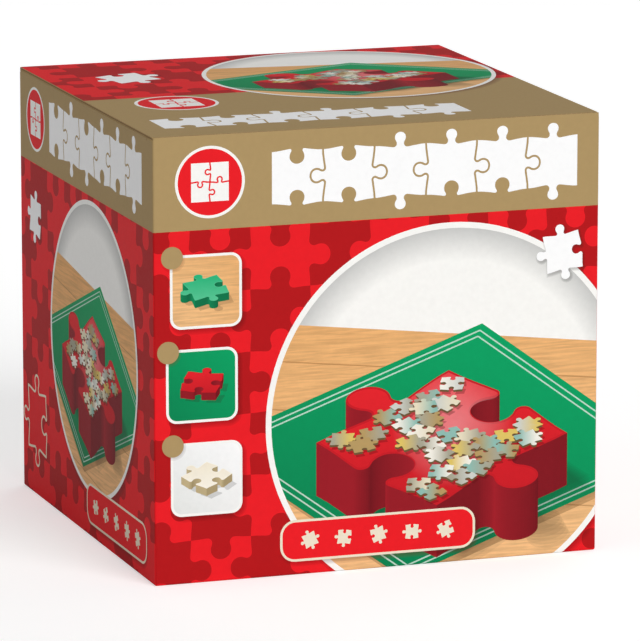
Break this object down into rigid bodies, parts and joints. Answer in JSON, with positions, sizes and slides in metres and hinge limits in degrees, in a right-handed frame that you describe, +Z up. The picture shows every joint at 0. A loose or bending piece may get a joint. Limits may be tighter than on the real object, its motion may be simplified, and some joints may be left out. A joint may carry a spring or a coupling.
{
  "type": "jigsaw sorting tray box",
  "caption": "Near-cubic printed cardboard carton with a hinged tuck lid and dust flaps, holding a stack of square plastic trays for sorting jigsaw pieces.",
  "frame": {"origin": "centre of the base, on the surface that the carton stands on", "axes": "+Z up, +Y from the front wall to the back wall, where the lid folds, +X from left to right as seen from the front"},
  "size_m": [0.208, 0.208, 0.2],
  "materials": {
    "printed_board": "printed and varnished",
    "board_inside": "uncoated",
    "tray_plastic": "finely textured"
  },
  "bodies": {
    "carton": {"front_panel": "printed_board", "back_panel": "printed_board", "left_panel": "printed_board", "right_panel": "printed_board", "glue_flap": "board_inside", "bottom_outer_flap": "printed_board", "bottom_inner_flap": "board_inside", "bottom_left_flap": "board_inside", "bottom_right_flap": "board_inside"},
    "lid": {"lid_panel": "printed_board"},
    "tuck": {"tuck_flap": "printed_board"},
    "left_dust": {"left_dust_flap": "board_inside"},
    "right_dust": {"right_dust_flap": "board_inside"},
    "tray_1_body": {"tray_1": "tray_plastic"},
    "tray_2_body": {"tray_2": "tray_plastic"},
    "tray_3_body": {"tray_3": "tray_plastic"},
    "tray_4_body": {"tray_4": "tray_plastic"},
    "tray_5_body": {"tray_5": "tray_plastic"},
    "tray_6_body": {"tray_6": "tray_plastic"}
  },
  "joints": [
    {"name": "lid_hinge", "type": "hinge", "parent": "carton", "child": "lid", "pos_m": [0, 0.104, 0.1988], "axis": [-1, 0, 0], "range_deg": [0, 180]},
    {"name": "tuck_flap_hinge", "type": "hinge", "parent": "lid", "child": "tuck", "pos_m": [0, -0.1025, 0.1988], "axis": [-1, 0, 0], "range_deg": [0, 54]},
    {"name": "left_dust_flap_hinge", "type": "hinge", "parent": "carton", "child": "left_dust", "pos_m": [-0.104, 0, 0.1976], "axis": [0, -1, 0], "range_deg": [0, 90]},
    {"name": "right_dust_flap_hinge", "type": "hinge", "parent": "carton", "child": "right_dust", "pos_m": [0.104, 0, 0.1976], "axis": [0, 1, 0], "range_deg": [0, 90]},
    {"name": "tray_1_lift", "type": "slide", "parent": "carton", "child": "tray_1_body", "axis": [0, 0, 1], "range_m": [0, 0.01]},
    {"name": "tray_2_lift", "type": "slide", "parent": "tray_1_body", "child": "tray_2_body", "axis": [0, 0, 1], "range_m": [0, 0.01]},
    {"name": "tray_3_lift", "type": "slide", "parent": "tray_2_body", "child": "tray_3_body", "axis": [0, 0, 1], "range_m": [0, 0.01]},
    {"name": "tray_4_lift", "type": "slide", "parent": "tray_3_body", "child": "tray_4_body", "axis": [0, 0, 1], "range_m": [0, 0.01]},
    {"name": "tray_5_lift", "type": "slide", "parent": "tray_4_body", "child": "tray_5_body", "axis": [0, 0, 1], "range_m": [0, 0.01]},
    {"name": "tray_6_lift", "type": "slide", "parent": "tray_5_body", "child": "tray_6_body", "axis": [0, 0, 1], "range_m": [0, 0.01]}
  ],
  "couplings": [
    {"joint": "tuck_flap_hinge", "follows": "lid_hinge", "ratio": 0.3},
    {"joint": "left_dust_flap_hinge", "follows": "lid_hinge", "ratio": 0.5},
    {"joint": "right_dust_flap_hinge", "follows": "lid_hinge", "ratio": 0.5}
  ]
}
